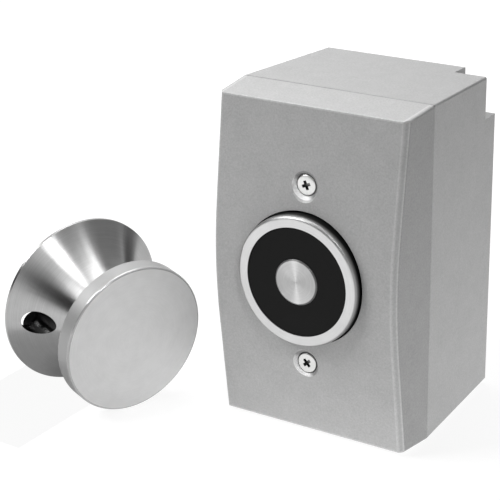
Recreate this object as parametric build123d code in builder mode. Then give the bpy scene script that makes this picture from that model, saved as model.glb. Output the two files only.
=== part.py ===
from build123d import *
import os
from math import atan2, cos, radians, sin, sqrt, tan

# Electromagnetic door holder: a wall unit with a pot magnet behind a bowed cover, and the
# swivelling armature that is screwed to the door, lying on its side beside the unit.
# Millimetres. X runs across the unit, +Z is up, the wall is the plane Y = 0 and the room is
# towards -Y. The origin is on the magnet's axis, in the face that lies against the wall.
# A depth is a distance from the wall, so a point at a depth d has Y = -d.

# Housing
plate_width = 69.85
plate_height = 114.3
rear_inset_side = 2.575
rear_inset_end = 1.4
box_depth = 48.5
box_wall = 3.0
rear_wall = 3.0
edge_round = 0.8
seam_chamfer = 0.3
notch_width = 11.3
notch_height = 14.2
notch_depth = 8.1

# Front cover
cover_edge_depth = 15.85
front_inset_side = 0.72
front_inset_end = 1.48
front_slope = 7.54
bow_half_height = 20.0
facet_front = 1.4
facet_side = 2.1
cover_wall = 2.8
lip_depth = 2.0
lip_wall = 1.2
lip_clearance = 0.25
front_edge_round = 0.45
facet_border_round = 0.25

# Wall fixing and wiring
fixing_spacing_x = 28.0
fixing_spacing_z = 88.0
fixing_hole_radius = 2.4
wire_hole_radius = 11.1
wire_hole_height = 26.0
ground_x = -20.0
ground_z = 22.0
ground_boss_radius = 4.5
ground_boss_height = 2.5

# Magnet
magnet_radius = 22.0
magnet_length = 30.0
magnet_proud = 3.0
ring_wall = 3.7
pot_base = 6.0
pot_edge_round = 1.2
pot_hole_clearance = 0.5
core_radius = 7.75
spigot_radius = 5.0
core_edge_round = 0.5
potting_recess = 0.3
potting_thickness = 1.8
bobbin_wall = 1.2
coil_gap = 0.9
resin_clearance = 0.05
lead_hole_offset = 13.0
lead_hole_radius = 3.0
grommet_flange_width = 1.0
grommet_flange_thickness = 0.8

# Strap
strap_thickness = 2.5
strap_width = 22.0
cover_screw_gap = 8.6
strap_screw_gap = 11.05
strap_end_margin = 4.8
ear_margin = 3.6
pan_margin = 2.0
strap_bend = 2.0
post_radius = 4.2
lead_hole_clearance = 0.4

# Screws: six-thirty-two size, with a running clearance where they pass through
screw_radius = 1.75
thread_clearance = 0.05
screw_clearance = 0.25
pan_head_radius = 3.3
pan_head_height = 2.2
strap_screw_length = 12.0
cover_head_radius = 3.45
cover_head_height = 2.0
cover_head_recess = 0.8
cover_head_clearance = 0.25
countersink_depth = 1.1
countersink_angle = 43.0
cover_boss_radius = 4.6
cover_boss_gap = 0.3
cover_screw_past_strap = 1.5
cross_length_ratio = 1.07
cross_width_ratio = 0.246
cross_depth_ratio = 0.65
head_round_ratio = 0.33
screw_end_chamfer = 0.4
upper_cross_turn = 22.0
lower_cross_turn = 42.0
bolt_radius = 3.0
bolt_head_flats = 10.0
bolt_head_height = 4.0
bolt_length = 16.0
bolt_end_chamfer = 0.6
washer_radius = 5.9
washer_thickness = 1.5
washer_slit_angle = 20.0

# Board and what it carries
board_side_margin = 9.3
board_height = 38.0
board_thickness = 1.6
board_corner_round = 1.75
board_centre_z = -13.0
board_screw_inset = 3.5
standoff_flats = 5.0
standoff_height = 6.0
standoff_stud_gap = 0.6
standoff_floor = 1.0
small_screw_radius = 1.5
small_head_radius = 2.8
small_head_height = 1.8
small_screw_gap = 2.6
terminal_count = 5
terminal_pitch = 5.08
terminal_depth = 11.0
terminal_height = 10.0
terminal_edge_margin = 3.0
terminal_chamfer = 2.5
terminal_screw_radius = 1.6
terminal_well_depth = 2.6
terminal_entry = 3.2
terminal_entry_depth = 6.0
terminal_screw_height = 1.4
slot_width = 0.6
rectifier_x = 9.0
rectifier_width = 9.0
rectifier_height = 6.0
rectifier_depth = 8.0
rectifier_chamfer = 1.5
rectifier_pin_pitch = 2.25
varistor_x = -8.5
varistor_radius = 5.0
varistor_thickness = 3.6
varistor_round = 1.2
varistor_pin_pitch = 5.0
board_part_margin = 4.5
part_lift = 1.5
pin_radius = 0.35
lead_radius = 0.75
lead_gap = 0.4
lead_clearance = 0.2
pad_x = 8.0
pad_margin = 12.0
lead_tail = 8.6
lead_rise = 13.4
lead_bend_radius = 7.0

# Armature
base_radius = 30.2
rim_land = 1.0
neck_radius = 12.0
flare_radius = 44.0
armature_length = 35.0
disc_radius = 26.4
disc_thickness = 6.6
disc_edge_round = 0.7
neck_gap = 3.0
screw_circle_radius = 22.0
screw_hole_radius = 4.2
back_recess_radius = 14.0
back_recess_depth = 6.0
ball_radius = 5.5
ball_clearance = 0.05
liner_wall = 1.95
liner_open_front = 1.9
liner_open_rear = 1.3
liner_slit = 1.0
collar_wall = 1.45
collar_below = 0.5
collar_grip = 2.25
collar_lip = 1.12
collar_flare = 1.1
spanner_slot_width = 1.8
spanner_slot_depth = 1.2
stud_shank_radius = 2.5
stud_shoulder_radius = 4.2
stud_shoulder_height = 1.2
stud_thread_radius = 3.0
stud_thread_length = 4.4

# Where the armature lies: the centre of its disc's face, and the way its axis points
face_centre_x = -59.3
face_centre_y = -81.0
heading = -20.2
disc_floor_gap = 0.3

os.makedirs("parts", exist_ok=True)


def at_depth(depth):
    """The plane that faces the room at a depth, with X across and Z up."""
    return Plane.XZ.offset(depth)


# Depths and sizes that follow from the values above
floor_z = -plate_height / 2
rear_width = plate_width - 2 * rear_inset_side
rear_height = plate_height - 2 * rear_inset_end
cover_screw_spacing = 2 * (magnet_radius + cover_screw_gap)
strap_screw_spacing = cover_screw_spacing + 2 * strap_screw_gap
front_corner_depth = box_depth + cover_edge_depth
slope = radians(front_slope)
slope_run = plate_height / 2 - front_inset_end - bow_half_height
bow_start_depth = front_corner_depth + slope_run * tan(slope)
bow_radius = bow_half_height / sin(slope)
apex_depth = bow_start_depth + bow_radius * (1 - cos(slope))
magnet_face = apex_depth + magnet_proud
pot_rear = magnet_face - magnet_length
pot_floor = pot_rear + pot_base
strap_back = pot_rear - strap_thickness
ear_back = box_depth - strap_thickness
ring_inner_radius = magnet_radius - ring_wall
board_back = rear_wall + standoff_height
board_front = board_back + board_thickness


def front_depth(height):
    """Depth of the cover's front face on its sloping part, at a height above the axis."""
    return front_corner_depth + (plate_height / 2 - front_inset_end - abs(height)) * tan(slope)


# Back box: a drafted casting, open to the front, with two posts for the strap
def box_taper(inset, start, end):
    """Drafted block of the box's outline, a wall thickness inside it, between two depths."""
    with BuildPart() as taper:
        for depth in (start, end):
            share = depth / box_depth
            width = rear_width + (plate_width - rear_width) * share
            height = rear_height + (plate_height - rear_height) * share
            with BuildSketch(at_depth(depth)):
                Rectangle(width - 2 * inset, height - 2 * inset)
        loft(ruled=True)
    return taper.part


with BuildPart() as box_cavity:
    add(box_taper(box_wall, rear_wall, box_depth))
    with BuildSketch(at_depth(rear_wall)):
        for side in (1, -1):
            with Locations((0, side * strap_screw_spacing / 2)):
                Circle(post_radius)
            with Locations((0, side * (strap_screw_spacing / 2 + plate_height / 4))):
                Rectangle(2 * post_radius, plate_height / 2)
    extrude(amount=ear_back - rear_wall, mode=Mode.SUBTRACT)
    with BuildSketch(at_depth(rear_wall)):
        with Locations((ground_x, ground_z)):
            Circle(ground_boss_radius)
    extrude(amount=ground_boss_height, mode=Mode.SUBTRACT)

board_width = terminal_count * terminal_pitch + 2 * board_side_margin
board_screw_x = board_width / 2 - board_screw_inset
board_screw_z = board_height / 2 - board_screw_inset

with BuildPart() as back_box:
    add(box_taper(0, 0, box_depth))
    fillet(back_box.edges().group_by(Axis.Y)[1], edge_round)
    chamfer(back_box.faces().sort_by(Axis.Y)[0].edges(), seam_chamfer)
    add(box_cavity.part, mode=Mode.SUBTRACT)
    with BuildSketch(at_depth(0)):
        with Locations((rear_width / 2 - notch_width, rear_height / 2 - notch_height)):
            Rectangle(plate_width, plate_height, align=(Align.MIN, Align.MIN))
    extrude(amount=notch_depth, mode=Mode.SUBTRACT)
    with BuildSketch(at_depth(0)):
        with GridLocations(fixing_spacing_x, fixing_spacing_z, 2, 2):
            Circle(fixing_hole_radius)
        with Locations((0, wire_hole_height)):
            Circle(wire_hole_radius)
    extrude(amount=rear_wall, mode=Mode.SUBTRACT)
    with BuildSketch(at_depth(ear_back)):
        with GridLocations(0, strap_screw_spacing, 1, 2):
            Circle(screw_radius + thread_clearance)
    extrude(amount=-strap_screw_length, mode=Mode.SUBTRACT)
    with BuildSketch(at_depth(rear_wall)):
        with Locations((0, board_centre_z)):
            with GridLocations(2 * board_screw_x, 2 * board_screw_z, 2, 2):
                Circle(small_screw_radius + thread_clearance)
    extrude(amount=standoff_stud_gap - rear_wall, mode=Mode.SUBTRACT)
    with BuildSketch(at_depth(rear_wall + ground_boss_height)):
        with Locations((ground_x, ground_z)):
            Circle(screw_radius + thread_clearance)
    extrude(amount=-ground_boss_height - rear_wall / 2, mode=Mode.SUBTRACT)
back_box.part.label = "back_box"
export_step(back_box.part, "parts/back_box.step")


# Face cover: drafted sides and a front that slopes to a rounded middle
def bowed_form(inset, front_wall):
    """The cover's outer form, or its cavity when both walls are taken off."""
    reach = plate_height
    end_depth = front_depth(reach)
    depth_share = (apex_depth - box_depth) / cover_edge_depth
    with BuildPart() as form:
        with BuildSketch(at_depth(box_depth)):
            Rectangle(plate_width - 2 * inset, plate_height - 2 * inset)
        with BuildSketch(at_depth(apex_depth)):
            Rectangle(
                plate_width - 2 * front_inset_side * depth_share - 2 * inset,
                plate_height - 2 * front_inset_end * depth_share - 2 * inset,
            )
        loft(ruled=True)
        with BuildSketch(Plane.YZ.offset(-plate_width / 2)):
            with BuildLine():
                Polyline(
                    (front_wall - bow_start_depth, -bow_half_height),
                    (front_wall - end_depth, -reach),
                    (0, -reach),
                    (0, reach),
                    (front_wall - end_depth, reach),
                    (front_wall - bow_start_depth, bow_half_height),
                )
                ThreePointArc(
                    (front_wall - bow_start_depth, bow_half_height),
                    (front_wall - apex_depth, 0),
                    (front_wall - bow_start_depth, -bow_half_height),
                )
            make_face()
        extrude(amount=plate_width, mode=Mode.INTERSECT)
    return form.part


def is_facet_edge(edge):
    """True for the front edges of the cover's two sides."""
    return edge.center().Y < -front_corner_depth


def is_long_corner(edge):
    """True for the four corners that run from the seam towards the front."""
    return box_depth + edge_round < -edge.center().Y < front_corner_depth - facet_side


def is_end_edge(edge):
    """True for the front edges across the cover's top and bottom."""
    across = edge.bounding_box().size.X
    return abs(edge.center().Y + front_corner_depth) < edge_round and across > plate_width / 2


def is_facet_border(edge):
    """True for the long edges on both sides of a facet."""
    rises = edge.bounding_box().size.Z > bow_half_height
    return rises and -edge.center().Y > front_corner_depth


screw_front = front_depth(cover_screw_spacing / 2)
head_top = screw_front - cover_head_recess
head_seat = head_top - cover_head_height
mouth_share = (box_depth - lip_depth) / box_depth
lip_width = rear_width + (plate_width - rear_width) * mouth_share - 2 * (box_wall + lip_clearance)
lip_height = rear_height + (plate_height - rear_height) * mouth_share - 2 * (box_wall + lip_clearance)

with BuildPart() as cover_cavity:
    add(bowed_form(cover_wall, cover_wall))
    with BuildSketch(at_depth(box_depth + cover_boss_gap)):
        with GridLocations(0, cover_screw_spacing, 1, 2):
            Circle(cover_boss_radius)
    extrude(amount=apex_depth, mode=Mode.SUBTRACT)
    # the locating lip stands up inside the cover
    with BuildSketch(at_depth(box_depth)):
        Rectangle(plate_width, plate_height)
        Rectangle(lip_width - 2 * lip_wall, lip_height - 2 * lip_wall, mode=Mode.SUBTRACT)
    extrude(amount=lip_depth, mode=Mode.SUBTRACT)

with BuildPart() as face_cover:
    add(bowed_form(0, 0))
    for end in (0, -1):
        side_face = face_cover.faces().sort_by(Axis.X)[end]
        side_edges = side_face.edges().filter_by(is_facet_edge)
        chamfer(side_edges, length=facet_side, length2=facet_front, reference=side_face)
    fillet(face_cover.edges().filter_by(is_long_corner), edge_round)
    fillet(face_cover.edges().filter_by(is_end_edge), front_edge_round)
    fillet(face_cover.edges().filter_by(is_facet_border), facet_border_round)
    chamfer(face_cover.faces().sort_by(Axis.Y)[-1].edges(), seam_chamfer)
    add(cover_cavity.part, mode=Mode.SUBTRACT)
    with BuildSketch(at_depth(box_depth)):
        Rectangle(lip_width, lip_height)
        Rectangle(lip_width - 2 * lip_wall, lip_height - 2 * lip_wall, mode=Mode.SUBTRACT)
    extrude(amount=-lip_depth)
    with BuildSketch(at_depth(box_depth)):
        Circle(magnet_radius + pot_hole_clearance)
        with GridLocations(0, cover_screw_spacing, 1, 2):
            Circle(screw_radius + screw_clearance)
    extrude(amount=apex_depth, mode=Mode.SUBTRACT)
    # a seat for each screw's head, and a cone above it
    with BuildSketch(at_depth(head_seat)):
        with GridLocations(0, cover_screw_spacing, 1, 2):
            Circle(cover_head_radius + cover_head_clearance)
    extrude(amount=apex_depth, mode=Mode.SUBTRACT)
    for side in (1, -1):
        with BuildSketch(at_depth(screw_front - countersink_depth)):
            with Locations((0, side * cover_screw_spacing / 2)):
                Circle(cover_head_radius + cover_head_clearance)
        extrude(amount=2 * countersink_depth, taper=-countersink_angle, mode=Mode.SUBTRACT)
face_cover.part.label = "face_cover"
export_step(face_cover.part, "parts/face_cover.step")


# Strap: folded across the box, its ears on the posts and its pan behind the magnet
strap_end = strap_screw_spacing / 2 + strap_end_margin
ear_inner = cover_screw_spacing / 2 - ear_margin
pan_half = magnet_radius + pan_margin
grommet_flange = lead_hole_radius + grommet_flange_width
ear_middle = box_depth - strap_thickness / 2
pan_middle = pot_rear - strap_thickness / 2

with BuildPart() as mounting_strap:
    with BuildSketch(Plane.YZ.offset(-strap_width / 2)):
        with BuildLine():
            FilletPolyline(
                (-ear_middle, strap_end),
                (-ear_middle, ear_inner),
                (-pan_middle, pan_half),
                (-pan_middle, -pan_half),
                (-ear_middle, -ear_inner),
                (-ear_middle, -strap_end),
                radius=strap_bend,
            )
        trace(line_width=strap_thickness)
    extrude(amount=strap_width)
    fillet(mounting_strap.edges().filter_by(Axis.Y), strap_bend)
    with BuildSketch(at_depth(0)):
        with GridLocations(0, strap_screw_spacing, 1, 2):
            Circle(screw_radius + screw_clearance)
        with GridLocations(0, cover_screw_spacing, 1, 2):
            Circle(screw_radius + thread_clearance)
        Circle(bolt_radius + screw_clearance)
        with Locations((0, -lead_hole_offset)):
            Circle(grommet_flange + lead_hole_clearance)
    extrude(amount=apex_depth, mode=Mode.SUBTRACT)
mounting_strap.part.label = "mounting_strap"
export_step(mounting_strap.part, "parts/mounting_strap.step")


# Screws
def spot(across, height, depth, turn=0):
    """A plane that faces the room at a point, turned about its own normal."""
    sideways = (cos(radians(turn)), 0, sin(radians(turn)))
    return Plane(origin=(across, -depth, height), x_dir=sideways, z_dir=(0, -1, 0))


def cross_head_screw(plane, head_radius, head_height, shank_radius, length):
    """A screw whose head stands on a plane and whose shank goes behind it."""
    with BuildPart() as screw:
        with BuildSketch(plane):
            Circle(head_radius)
        extrude(amount=head_height)
        fillet(screw.edges().sort_by(Axis.Y)[0], head_height * head_round_ratio)
        with BuildSketch(plane):
            Circle(shank_radius)
        extrude(amount=-length)
        chamfer(screw.edges().sort_by(Axis.Y)[-1], screw_end_chamfer)
        cross_length = head_radius * cross_length_ratio
        cross_width = head_radius * cross_width_ratio
        with BuildSketch(plane.offset(head_height)):
            Rectangle(cross_length, cross_width)
            Rectangle(cross_width, cross_length)
        extrude(amount=-head_height * cross_depth_ratio, mode=Mode.SUBTRACT)
    return screw.part


with BuildPart() as cover_screws:
    for end, cross_turn in ((1, upper_cross_turn), (-1, lower_cross_turn)):
        seat = spot(0, end * cover_screw_spacing / 2, head_seat, cross_turn)
        length = head_seat - ear_back + cover_screw_past_strap
        add(cross_head_screw(seat, cover_head_radius, cover_head_height, screw_radius, length))
cover_screws.part.label = "cover_screws"
export_step(cover_screws.part, "parts/cover_screws.step")

with BuildPart() as strap_screws:
    for end in (1, -1):
        seat = spot(0, end * strap_screw_spacing / 2, box_depth)
        add(cross_head_screw(seat, pan_head_radius, pan_head_height, screw_radius, strap_screw_length))
strap_screws.part.label = "strap_screws"
export_step(strap_screws.part, "parts/strap_screws.step")

with BuildPart() as ground_screw:
    seat = spot(ground_x, ground_z, rear_wall + ground_boss_height)
    add(cross_head_screw(seat, pan_head_radius, pan_head_height, screw_radius, ground_boss_height))
ground_screw.part.label = "ground_screw"
export_step(ground_screw.part, "parts/ground_screw.step")

with BuildPart() as centre_bolt:
    with BuildSketch(at_depth(strap_back - washer_thickness)):
        RegularPolygon(bolt_head_flats / 2, 6, major_radius=False)
    extrude(amount=-bolt_head_height)
    with BuildSketch(at_depth(strap_back - washer_thickness)):
        Circle(bolt_radius)
    extrude(amount=bolt_length)
    chamfer(centre_bolt.edges().sort_by(Axis.Y)[0], bolt_end_chamfer)
centre_bolt.part.label = "centre_bolt"
export_step(centre_bolt.part, "parts/centre_bolt.step")

# a split spring washer, flat when it is done up
with BuildPart() as lock_washer:
    with BuildSketch(at_depth(strap_back)):
        Circle(washer_radius)
        Circle(bolt_radius + screw_clearance, mode=Mode.SUBTRACT)
        with Locations((washer_radius / 2, 0)):
            Rectangle(washer_radius, slot_width, rotation=washer_slit_angle, mode=Mode.SUBTRACT)
    extrude(amount=-washer_thickness)
lock_washer.part.label = "lock_washer"
export_step(lock_washer.part, "parts/lock_washer.step")


# Magnet: pot, pole, spool, winding and resin are turned forms on the magnet's axis
bobbin_rear = pot_floor + resin_clearance
bobbin_front = magnet_face - potting_recess - potting_thickness - resin_clearance
bobbin_bore = core_radius + resin_clearance
bobbin_rim = ring_inner_radius - resin_clearance
lead_spread = lead_radius + lead_gap / 2
grommet_bore = lead_spread + lead_radius + lead_clearance

with BuildPart() as magnet_pot:
    with BuildSketch(at_depth(pot_rear)):
        Circle(magnet_radius)
    extrude(amount=magnet_length)
    fillet(magnet_pot.edges().sort_by(Axis.Y)[0], pot_edge_round)
    with BuildSketch(at_depth(pot_floor)):
        Circle(ring_inner_radius)
    extrude(amount=magnet_length, mode=Mode.SUBTRACT)
    with BuildSketch(at_depth(pot_rear)):
        Circle(spigot_radius + thread_clearance)
        with Locations((0, -lead_hole_offset)):
            Circle(lead_hole_radius)
    extrude(amount=pot_base, mode=Mode.SUBTRACT)
magnet_pot.part.label = "magnet_pot"
export_step(magnet_pot.part, "parts/magnet_pot.step")

with BuildPart() as magnet_core:
    with BuildSketch(at_depth(pot_floor)):
        Circle(core_radius)
    extrude(amount=magnet_face - pot_floor)
    fillet(magnet_core.edges().sort_by(Axis.Y)[0], core_edge_round)
    with BuildSketch(at_depth(pot_rear)):
        Circle(spigot_radius)
    extrude(amount=pot_base)
    with BuildSketch(at_depth(pot_rear)):
        Circle(bolt_radius + thread_clearance)
    extrude(amount=bolt_length, mode=Mode.SUBTRACT)
magnet_core.part.label = "magnet_core"
export_step(magnet_core.part, "parts/magnet_core.step")

with BuildPart() as coil_bobbin:
    with BuildSketch(at_depth(bobbin_rear)):
        Circle(bobbin_rim)
    extrude(amount=bobbin_front - bobbin_rear)
    with BuildSketch(at_depth(bobbin_rear + bobbin_wall)):
        Circle(bobbin_rim)
        Circle(bobbin_bore + bobbin_wall, mode=Mode.SUBTRACT)
    extrude(amount=bobbin_front - bobbin_rear - 2 * bobbin_wall, mode=Mode.SUBTRACT)
    with BuildSketch(at_depth(bobbin_rear)):
        Circle(bobbin_bore)
    extrude(amount=bobbin_front - bobbin_rear, mode=Mode.SUBTRACT)
    with BuildSketch(at_depth(bobbin_rear)):
        with Locations((0, -lead_hole_offset)):
            Circle(grommet_bore)
    extrude(amount=bobbin_wall, mode=Mode.SUBTRACT)
coil_bobbin.part.label = "coil_bobbin"
export_step(coil_bobbin.part, "parts/coil_bobbin.step")

with BuildPart() as coil_winding:
    with BuildSketch(at_depth(bobbin_rear + bobbin_wall + resin_clearance)):
        Circle(ring_inner_radius - coil_gap)
        Circle(bobbin_bore + bobbin_wall + resin_clearance, mode=Mode.SUBTRACT)
    extrude(amount=bobbin_front - bobbin_rear - 2 * bobbin_wall - 2 * resin_clearance)
coil_winding.part.label = "coil_winding"
export_step(coil_winding.part, "parts/coil_winding.step")

with BuildPart() as potting_ring:
    with BuildSketch(at_depth(magnet_face - potting_recess)):
        Circle(ring_inner_radius - resin_clearance)
        Circle(core_radius + resin_clearance, mode=Mode.SUBTRACT)
    extrude(amount=-potting_thickness)
potting_ring.part.label = "potting_ring"
export_step(potting_ring.part, "parts/potting_ring.step")

with BuildPart() as lead_grommet:
    with BuildSketch(spot(0, -lead_hole_offset, pot_rear)):
        Circle(lead_hole_radius - thread_clearance)
    extrude(amount=pot_base)
    with BuildSketch(spot(0, -lead_hole_offset, pot_rear)):
        Circle(grommet_flange)
    extrude(amount=-grommet_flange_thickness)
    with BuildSketch(spot(0, -lead_hole_offset, pot_rear - grommet_flange_thickness)):
        Circle(grommet_bore)
    extrude(amount=pot_base + grommet_flange_thickness, mode=Mode.SUBTRACT)
lead_grommet.part.label = "lead_grommet"
export_step(lead_grommet.part, "parts/lead_grommet.step")


# Circuit board on four pillars, with its terminal block, rectifier and surge absorber
board_corners = []
for side in (1, -1):
    for end in (1, -1):
        board_corners.append((side * board_screw_x, board_centre_z + end * board_screw_z))
small_screw_length = board_thickness + standoff_height - small_screw_gap

with BuildPart() as circuit_board:
    with BuildSketch(at_depth(board_back)):
        with Locations((0, board_centre_z)):
            RectangleRounded(board_width, board_height, board_corner_round)
        with Locations(*board_corners):
            Circle(small_screw_radius + screw_clearance, mode=Mode.SUBTRACT)
    extrude(amount=board_thickness)
circuit_board.part.label = "circuit_board"
export_step(circuit_board.part, "parts/circuit_board.step")

with BuildPart() as board_standoffs:
    with BuildSketch(at_depth(rear_wall)):
        with Locations(*board_corners):
            RegularPolygon(standoff_flats / 2, 6, major_radius=False)
    extrude(amount=standoff_height)
    with BuildSketch(at_depth(rear_wall)):
        with Locations(*board_corners):
            Circle(small_screw_radius)
    extrude(amount=standoff_stud_gap - rear_wall)
    with BuildSketch(at_depth(board_back)):
        with Locations(*board_corners):
            Circle(small_screw_radius + thread_clearance)
    extrude(amount=standoff_floor - standoff_height, mode=Mode.SUBTRACT)
board_standoffs.part.label = "board_standoffs"
export_step(board_standoffs.part, "parts/board_standoffs.step")

with BuildPart() as board_screws:
    for across, height in board_corners:
        seat = spot(across, height, board_front)
        add(
            cross_head_screw(
                seat, small_head_radius, small_head_height, small_screw_radius, small_screw_length
            )
        )
board_screws.part.label = "board_screws"
export_step(board_screws.part, "parts/board_screws.step")

terminal_front = board_front + terminal_depth
terminal_centre_z = board_centre_z + board_height / 2 - terminal_edge_margin - terminal_height / 2
terminal_places = []
for place in range(terminal_count):
    terminal_places.append(((place - (terminal_count - 1) / 2) * terminal_pitch, terminal_centre_z))

with BuildPart() as terminal_block:
    with BuildSketch(at_depth(board_front)):
        with Locations((0, terminal_centre_z)):
            Rectangle(terminal_count * terminal_pitch, terminal_height)
    extrude(amount=terminal_depth)
    front_edges = terminal_block.edges().filter_by(Axis.X).group_by(Axis.Y)[0]
    chamfer(front_edges.sort_by(Axis.Z)[-1], terminal_chamfer)
    with BuildSketch(at_depth(terminal_front)):
        with Locations(*terminal_places):
            Circle(terminal_screw_radius + screw_clearance)
    extrude(amount=-terminal_well_depth, mode=Mode.SUBTRACT)
    with BuildSketch(Plane.XY.offset(terminal_centre_z + terminal_height / 2)):
        for across, height in terminal_places:
            with Locations((across, -board_front - terminal_entry)):
                Rectangle(terminal_entry, terminal_entry)
    extrude(amount=-terminal_entry_depth, mode=Mode.SUBTRACT)
terminal_block.part.label = "terminal_block"
export_step(terminal_block.part, "parts/terminal_block.step")

with BuildPart() as terminal_screws:
    with BuildSketch(at_depth(terminal_front - terminal_well_depth)):
        with Locations(*terminal_places):
            Circle(terminal_screw_radius)
    extrude(amount=terminal_screw_height)
    with BuildSketch(at_depth(terminal_front - terminal_well_depth + terminal_screw_height)):
        with Locations(*terminal_places):
            Rectangle(2 * terminal_screw_radius, slot_width)
    extrude(amount=-terminal_screw_height / 2, mode=Mode.SUBTRACT)
terminal_screws.part.label = "terminal_screws"
export_step(terminal_screws.part, "parts/terminal_screws.step")

board_part_z = board_centre_z - board_height / 2 + board_part_margin

with BuildPart() as rectifier:
    with BuildSketch(at_depth(board_front + part_lift)):
        with Locations((rectifier_x, board_part_z)):
            Rectangle(rectifier_width, rectifier_height)
    extrude(amount=rectifier_depth)
    chamfer(rectifier.edges().filter_by(Axis.Y).sort_by(Axis.X)[0], rectifier_chamfer)
    with BuildSketch(at_depth(board_front)):
        with Locations((rectifier_x, board_part_z)):
            with GridLocations(rectifier_pin_pitch, 0, 4, 1):
                Circle(pin_radius)
    extrude(amount=part_lift)
rectifier.part.label = "rectifier"
export_step(rectifier.part, "parts/rectifier.step")

with BuildPart() as varistor:
    with BuildSketch(Plane.XY.offset(board_part_z - varistor_thickness / 2)):
        with Locations((varistor_x, -board_front - part_lift - varistor_radius)):
            Circle(varistor_radius)
    extrude(amount=varistor_thickness)
    fillet(varistor.edges(), varistor_round)
    with BuildSketch(at_depth(board_front)):
        with Locations((varistor_x, board_part_z)):
            with GridLocations(varistor_pin_pitch, 0, 2, 1):
                Circle(pin_radius)
    extrude(amount=part_lift + varistor_radius / 2)
varistor.part.label = "varistor"
export_step(varistor.part, "parts/varistor.step")


# Coil leads: from the winding, out through the grommet and back to the board
lead_straight = pot_rear - grommet_flange_thickness - lead_tail
lead_bend_depth = board_front + lead_rise
pad_z = board_centre_z - board_height / 2 + pad_margin


def coil_lead(side):
    """One lead, held in the grommet at one end and on its pad at the other."""
    start = bobbin_rear + bobbin_wall
    with BuildPart() as lead:
        with BuildLine() as route:
            FilletPolyline(
                (side * lead_spread, -start, -lead_hole_offset),
                (side * lead_spread, -lead_straight, -lead_hole_offset),
                (side * pad_x, -lead_bend_depth, pad_z),
                (side * pad_x, -board_front, pad_z),
                radius=lead_bend_radius,
            )
        with BuildSketch(spot(side * lead_spread, -lead_hole_offset, start)):
            Circle(lead_radius)
        sweep(path=route.line)
    return lead.part


with BuildPart() as coil_lead_plus:
    add(coil_lead(1))
coil_lead_plus.part.label = "coil_lead_plus"
export_step(coil_lead_plus.part, "parts/coil_lead_plus.step")

with BuildPart() as coil_lead_minus:
    add(coil_lead(-1))
coil_lead_minus.part.label = "coil_lead_minus"
export_step(coil_lead_minus.part, "parts/coil_lead_minus.step")


# Armature: it lies on the rim of its base and leans until its disc is just off the floor
lean = atan2(
    base_radius - disc_radius - disc_floor_gap, armature_length - disc_edge_round - rim_land
)
heading_turn = radians(heading)
pull = Vector(cos(lean) * cos(heading_turn), cos(lean) * sin(heading_turn), -sin(lean))
face_centre_z = floor_z + disc_floor_gap + disc_radius * cos(lean) - disc_edge_round * sin(lean)
face_centre = Vector(face_centre_x, face_centre_y, face_centre_z)
base_centre = face_centre - pull * armature_length
across = Vector(-sin(heading_turn), cos(heading_turn), 0)
door_plane = Plane(origin=base_centre, x_dir=across, z_dir=pull)
section_plane = Plane(origin=base_centre, x_dir=across, z_dir=-door_plane.y_dir)
armature_axis = Axis(base_centre, pull)


def rise(radius, out):
    """How far along the axis a sphere's surface is from its centre, out from the axis."""
    return sqrt(radius**2 - out**2)


liner_inner = ball_radius + ball_clearance
liner_outer = liner_inner + liner_wall
liner_above = ball_radius - liner_open_front
liner_below = ball_radius - liner_open_rear
seat_radius = liner_outer + ball_clearance
collar_radius = seat_radius + collar_wall
collar_mouth_radius = seat_radius - collar_grip
mouth_rise = rise(seat_radius, collar_mouth_radius)
ball_to_neck_end = mouth_rise + collar_lip
disc_rear = armature_length - disc_thickness
neck_end = disc_rear - neck_gap
ball_centre = neck_end - ball_to_neck_end
socket_edge = ball_centre + collar_below - thread_clearance


# the flared base: a socket in its neck, a recess in its back and two screw holes
with BuildPart() as armature_base:
    with BuildSketch(section_plane):
        with BuildLine():
            Polyline(
                (0, ball_centre - seat_radius),
                (0, back_recess_depth),
                (back_recess_radius, back_recess_depth),
                (back_recess_radius, 0),
                (base_radius, 0),
                (base_radius, rim_land),
            )
            RadiusArc((base_radius, rim_land), (neck_radius, neck_end), flare_radius)
            Polyline(
                (neck_radius, neck_end),
                (collar_radius, neck_end),
                (collar_radius, socket_edge),
                (rise(seat_radius, socket_edge - ball_centre), socket_edge),
            )
            ThreePointArc(
                (rise(seat_radius, socket_edge - ball_centre), socket_edge),
                (seat_radius * sin(radians(45)), ball_centre - seat_radius * cos(radians(45))),
                (0, ball_centre - seat_radius),
            )
        make_face()
    revolve(axis=armature_axis)
    with BuildSketch(door_plane):
        with GridLocations(2 * screw_circle_radius, 0, 2, 1):
            Circle(screw_hole_radius)
    extrude(amount=armature_length, mode=Mode.SUBTRACT)
armature_base.part.label = "armature_base"
export_step(armature_base.part, "parts/armature_base.step")

collar_start = ball_centre + collar_below
with BuildPart() as seat_collar:
    with BuildSketch(section_plane):
        with BuildLine():
            ThreePointArc(
                (rise(seat_radius, collar_below), collar_start),
                (rise(seat_radius, mouth_rise / 2), ball_centre + mouth_rise / 2),
                (collar_mouth_radius, ball_centre + mouth_rise),
            )
            Polyline(
                (collar_mouth_radius, ball_centre + mouth_rise),
                (collar_mouth_radius + collar_flare, neck_end),
                (collar_radius - thread_clearance, neck_end),
                (collar_radius - thread_clearance, collar_start),
                (rise(seat_radius, collar_below), collar_start),
            )
        make_face()
    revolve(axis=armature_axis)
    with BuildSketch(door_plane.offset(neck_end)):
        Rectangle(2 * collar_radius, spanner_slot_width)
    extrude(amount=-spanner_slot_depth, mode=Mode.SUBTRACT)
seat_collar.part.label = "seat_collar"
export_step(seat_collar.part, "parts/seat_collar.step")

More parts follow.
